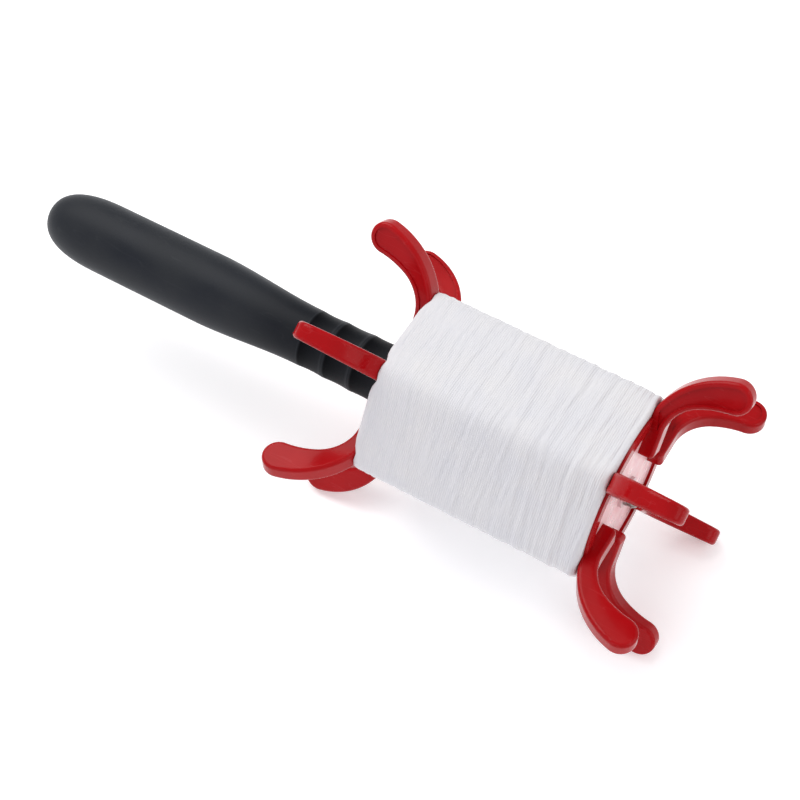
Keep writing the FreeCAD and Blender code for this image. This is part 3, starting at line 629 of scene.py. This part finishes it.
def pale_plastic(settings):
    """Smooth pale pink plastic, cloudy between two close shades."""
    material, tree, shader = new_finish(
        "pale_disc", IOR=1.49, Subsurface_Weight=0.1, Subsurface_Scale=0.002)
    place = object_place(tree)
    grain = place_group(tree, "surface_grain", Fine_Scale=1300.0, Patch_Scale=120.0)
    link(tree, place, grain.inputs["Vector"])
    warmer = tinted(settings.pale, (0.96, 0.84, 0.86))
    link(tree, mix_colours(tree, grain.outputs["Patches"], settings.pale, warmer),
         shader.inputs["Base Color"])
    link(tree, spread_value(tree, grain.outputs["Patches"], 0.24, 0.42), shader.inputs["Roughness"])
    add_bump(tree, shader, grain.outputs["Height"], 0.00003, 0.4)
    return material


def plain_plastic(name, light, dark, low, high):
    """Satin moulded plastic between two close colours and two roughnesses."""
    material, tree, shader = new_finish(name, IOR=1.48)
    place = object_place(tree)
    grain = place_group(tree, "surface_grain", Fine_Scale=1500.0, Patch_Scale=150.0)
    link(tree, place, grain.inputs["Vector"])
    link(tree, mix_colours(tree, grain.outputs["Patches"], dark, light), shader.inputs["Base Color"])
    link(tree, spread_value(tree, grain.outputs["Patches"], low, high), shader.inputs["Roughness"])
    add_bump(tree, shader, grain.outputs["Height"], 0.00004, 0.5)
    return material


def plated_steel():
    """Dull plated steel with brush marks and small spots."""
    material, tree, shader = new_finish("plated_steel", Metallic=1.0)
    place = object_place(tree)
    grain = place_group(tree, "surface_grain", Fine_Scale=1800.0, Patch_Scale=220.0)
    scuffs = place_group(tree, "fine_scuffs", Scale=420.0, Width=0.03)
    link(tree, place, grain.inputs["Vector"])
    link(tree, place, scuffs.inputs["Vector"])
    link(tree, mix_colours(tree, grain.outputs["Patches"], (0.26, 0.25, 0.23), (0.36, 0.35, 0.33)),
         shader.inputs["Base Color"])
    link(tree, spread_value(tree, scuffs.outputs["Scuffs"], 0.24, 0.42), shader.inputs["Roughness"])
    add_bump(tree, shader, grain.outputs["Height"], 0.00002, 0.4)
    return material


def black_rubber(settings):
    """Soft rubber with a fine matt grain, cloudy patches, faint scuffs, and painted shade in the neck's
    grooves and over the neck.
    """
    material, tree, shader = new_finish(
        "grip_rubber", IOR=1.5, Sheen_Weight=0.06, Sheen_Roughness=0.35)
    shader.inputs["Sheen Tint"].default_value = (0.75, 0.82, 0.9, 1.0)
    place = object_place(tree)
    grain = place_group(tree, "surface_grain", Fine_Scale=1700.0, Patch_Scale=38.0)
    scuffs = place_group(tree, "fine_scuffs", Scale=60.0, Width=0.004)
    link(tree, place, grain.inputs["Vector"])
    link(tree, place, scuffs.inputs["Vector"])
    groove = tree.nodes.new("ShaderNodeAttribute")
    groove.attribute_name = "groove"
    handled = tinted(settings.colour, (1.6, 1.5, 1.3))
    body = mix_colours(tree, grain.outputs["Patches"], settings.colour, handled)
    scuffed = mix_colours(tree, spread_value(tree, scuffs.outputs["Scuffs"], 0.0, 0.06), body,
                          (0.07, 0.075, 0.08))
    # Painted shade: the colour goes to the shaded groove colour where the attribute says, and less light is
    # reflected there.
    link(tree, mix_colours(tree, groove.outputs["Fac"], scuffed, settings.groove_shade_colour),
         shader.inputs["Base Color"])
    link(tree, spread_value(tree, groove.outputs["Fac"], 0.15, 0.02), shader.inputs["Specular IOR Level"])
    link(tree, spread_value(tree, grain.outputs["Patches"], 0.42, 0.54), shader.inputs["Roughness"])
    add_bump(tree, shader, grain.outputs["Height"], 0.00008, 0.6)
    return material


def drawn_noise(tree, vector, slant, stretch, scale):
    """Noise of a pattern's coordinates, drawn out along a slant to the turns."""
    turned = tree.nodes.new("ShaderNodeMapping")
    turned.vector_type = "TEXTURE"
    turned.inputs["Rotation"].default_value = (0.0, 0.0, slant)
    turned.inputs["Scale"].default_value = (stretch, 1.0, 1.0)
    link(tree, vector, turned.inputs["Vector"])
    noise = add_node(tree, "ShaderNodeTexNoise", Scale=scale, Detail=3.0, Roughness=0.6)
    link(tree, turned.outputs["Vector"], noise.inputs["Vector"])
    return noise.outputs["Fac"]


def white_line(settings):
    """Braided white line: fibres along the turns, strands across them both ways, and painted shade in the
    gaps between fibres and strands and in the valleys between turns.
    """
    material, tree, shader = new_finish(
        "white_line", Roughness=0.6, Sheen_Weight=0.2, Sheen_Roughness=0.4, Specular_IOR_Level=0.3)
    lay = tree.nodes.new("ShaderNodeUVMap")
    lay.uv_map = "lay"
    turns = lay.outputs["UV"]
    fibres = drawn_noise(tree, turns, 0.02, 9.0, 420.0)
    leaning = drawn_noise(tree, turns, 0.22, 10.0, 125.0)
    crossing = drawn_noise(tree, turns, -0.27, 10.0, 110.0)
    braid = add_node(tree, "ShaderNodeTexNoise", Scale=170.0, Detail=2.0, Roughness=0.7)
    link(tree, turns, braid.inputs["Vector"])
    grain = place_group(tree, "surface_grain", Fine_Scale=1500.0, Patch_Scale=55.0)
    link(tree, object_place(tree), grain.inputs["Vector"])
    strands = tree.nodes.new("ShaderNodeMix")
    link(tree, grain.outputs["Patches"], strands.inputs["Factor"])
    link(tree, leaning, strands.inputs["A"])
    link(tree, crossing, strands.inputs["B"])
    strand = strands.outputs["Result"]
    valley = tree.nodes.new("ShaderNodeAttribute")
    valley.attribute_name = "valley"
    cooler = tinted(settings.colour, (0.955, 0.965, 0.995))
    body = mix_colours(tree, grain.outputs["Patches"], settings.colour, cooler)
    # Painted shade: the colour goes towards the shaded valley colour between fibres, between strands and
    # deep between turns.
    threads = mix_colours(tree, spread_value(tree, fibres, 0.3, -0.05), body, settings.valley_shade_colour)
    slanted = mix_colours(tree, spread_value(tree, strand, 0.5, -0.4), threads, settings.valley_shade_colour)
    deep = mix_colours(tree, spread_value(tree, valley.outputs["Fac"], 0.0, 0.25), slanted,
                       settings.valley_shade_colour)
    link(tree, deep, shader.inputs["Base Color"])
    fine = add_bump(tree, shader, fibres, 0.00010, 0.45)
    rough = add_bump(tree, shader, braid.outputs["Fac"], 0.00010, 0.5, fine)
    add_bump(tree, shader, strand, 0.0003, 0.5, rough)
    return material


def dress(names, material):
    """Give CAD nodes a finish."""
    for name in names:
        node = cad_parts[name]
        node.data.materials.clear()
        node.data.materials.append(material)


def finish_piece(piece, material, body, replaced):
    """Give a new piece its finish, its body and the nodes that it stands for."""
    piece.data.materials.append(material)
    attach(piece, body)
    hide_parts(*replaced)


# ---------------------------------------------------------------- operators

class WINDER_OT_line(bpy.types.Operator):
    """Wind the bundle of white line on the reel."""
    bl_idname = "winder.line"
    bl_label = "Wind the line"

    def execute(self, context):
        settings = context.scene.winder_line
        piece = wound_line(settings)
        finish_piece(piece, white_line(settings), "reel", ("line_core", "line_turns"))
        return {"FINISHED"}


class WINDER_OT_grip(bpy.types.Operator):
    """Make the rubber grip of the handle."""
    bl_idname = "winder.grip"
    bl_label = "Make the grip"

    def execute(self, context):
        settings = context.scene.winder_grip
        piece = rubber_grip(settings)
        finish_piece(piece, black_rubber(settings), "handle", ("handle_grip",))
        return {"FINISHED"}


class WINDER_OT_mouldings(bpy.types.Operator):
    """Finish the reel's moulded halves, end discs and bushes, and the handle's plastic pieces."""
    bl_idname = "winder.mouldings"
    bl_label = "Finish the mouldings"

    def execute(self, context):
        settings = context.scene.winder_plastic
        dress(("reel_half_near", "reel_half_far"), red_plastic(settings))
        dress(("front_end_disc", "rear_end_disc"), pale_plastic(settings))
        dress(("front_bush", "rear_bush"),
              plain_plastic("bush_plastic", (0.74, 0.52, 0.53), (0.66, 0.46, 0.47), 0.3, 0.45))
        dress(("handle_collar", "handle_core", "butt_plug"),
              plain_plastic("black_plastic", (0.030, 0.030, 0.033), (0.018, 0.018, 0.020), 0.35, 0.5))
        return {"FINISHED"}


class WINDER_OT_steel(bpy.types.Operator):
    """Finish the axle, nuts, washers and screws."""
    bl_idname = "winder.steel"
    bl_label = "Finish the steel"

    def execute(self, context):
        dress(("axle", "dome_nut", "lock_nut", "front_washer", "rear_washer", "lock_washer", "half_screws"),
              plated_steel())
        return {"FINISHED"}


CAMERA_OFFSET = Vector((171.54, -364.94, 610.06)) * MM
CAMERA_TURN = Euler((0.603128, 0.009462, 0.542558), "XYZ")
LIGHT_AIM = Vector((0.02, 0.0, 0.05))
FRONT_SHARE = 0.65
SKY_COLOUR = (0.97, 0.98, 1.0, 1.0)
SKY_STRENGTH = 0.62


def area_light(name, place, size, power, colour):
    """Soft square light at a place, facing the winder."""
    data = bpy.data.lights.new(name, "AREA")
    data.shape = "SQUARE"
    data.size = size
    data.energy = power
    data.color = colour
    light = bpy.data.objects.new(name, data)
    light.location = place
    light.rotation_euler = (LIGHT_AIM - place).to_track_quat("-Z", "Y").to_euler()
    bpy.context.scene.collection.objects.link(light)


class WINDER_OT_stage(bpy.types.Operator):
    """Set the floor, the soft lights and the camera."""
    bl_idname = "winder.stage"
    bl_label = "Set the stage"

    def execute(self, context):
        settings = context.scene.winder_stage
        half = settings.floor_size / 2
        mesh = bpy.data.meshes.new("floor")
        mesh.from_pydata([(-half, -half, 0), (half, -half, 0), (half, half, 0), (-half, half, 0)], [],
                         [(0, 1, 2, 3)])
        floor = bpy.data.objects.new("floor", mesh)
        context.scene.collection.objects.link(floor)
        material, tree, shader = new_finish(
            "floor_table", Roughness=0.7, Specular_IOR_Level=0.2, Emission_Strength=settings.floor_glow)
        shader.inputs["Emission Color"].default_value = (1.0, 1.0, 1.0, 1.0)
        grain = place_group(tree, "surface_grain", Fine_Scale=500.0, Patch_Scale=3.0)
        link(tree, object_place(tree), grain.inputs["Vector"])
        darker = tinted(settings.floor_colour, (0.985, 0.985, 0.985))
        link(tree, mix_colours(tree, grain.outputs["Patches"], darker, settings.floor_colour),
             shader.inputs["Base Color"])
        mesh.materials.append(material)

        area_light("key_light", Vector((-0.65, 0.25, 1.25)), 1.2, settings.key_power, (1.0, 0.99, 0.98))
        area_light("front_fill", Vector((-0.35, -1.25, 0.45)), 1.2, FRONT_SHARE * settings.fill_power,
                   (0.88, 0.84, 1.0))
        area_light("right_fill", Vector((1.25, 0.1, 0.75)), 1.0, settings.fill_power, (1.0, 0.98, 0.98))
        world = bpy.data.worlds.new("studio")
        world.use_nodes = True
        sky = world.node_tree.nodes["Background"]
        sky.inputs["Color"].default_value = SKY_COLOUR
        sky.inputs["Strength"].default_value = SKY_STRENGTH
        context.scene.world = world
        context.scene.view_settings.view_transform = "Standard"

        data = bpy.data.cameras.new("camera")
        data.lens = settings.lens
        data.sensor_width = 36.0
        data.clip_start = 0.01
        camera = bpy.data.objects.new("camera", data)
        camera.location = REEL_MIDDLE + CAMERA_OFFSET
        camera.rotation_euler = CAMERA_TURN
        context.scene.collection.objects.link(camera)
        context.scene.camera = camera
        return {"FINISHED"}


class WINDER_PT_panel(bpy.types.Panel):
    """Settings and steps of the winder."""
    bl_idname = "WINDER_PT_panel"
    bl_label = "Kite line winder"
    bl_space_type = "VIEW_3D"
    bl_region_type = "UI"
    bl_category = "Winder"

    def draw(self, context):
        for step, owner in STEPS:
            box = self.layout.box()
            box.operator(step.bl_idname)
            if owner:
                settings = getattr(context.scene, owner)
                for name in settings.__annotations__:
                    box.prop(settings, name)


SETTINGS = (
    ("winder_line", WinderLineSettings),
    ("winder_grip", WinderGripSettings),
    ("winder_plastic", WinderPlasticSettings),
    ("winder_stage", WinderStageSettings),
)
STEPS = (
    (WINDER_OT_line, "winder_line"),
    (WINDER_OT_grip, "winder_grip"),
    (WINDER_OT_mouldings, "winder_plastic"),
    (WINDER_OT_steel, None),
    (WINDER_OT_stage, "winder_stage"),
)


def register():
    """Register the settings, the steps and the panel."""
    for owner, settings in SETTINGS:
        bpy.utils.register_class(settings)
        setattr(bpy.types.Scene, owner, PointerProperty(type=settings))
    for step, _ in STEPS:
        bpy.utils.register_class(step)
    bpy.utils.register_class(WINDER_PT_panel)


def unregister():
    """Take the panel, the steps and the settings away again."""
    bpy.utils.unregister_class(WINDER_PT_panel)
    for step, _ in reversed(STEPS):
        bpy.utils.unregister_class(step)
    for owner, settings in reversed(SETTINGS):
        delattr(bpy.types.Scene, owner)
        bpy.utils.unregister_class(settings)


def main():
    register()
    bpy.ops.winder.line()
    bpy.ops.winder.grip()
    bpy.ops.winder.mouldings()
    bpy.ops.winder.steel()
    bpy.ops.winder.stage()


if __name__ == "__main__":
    main()
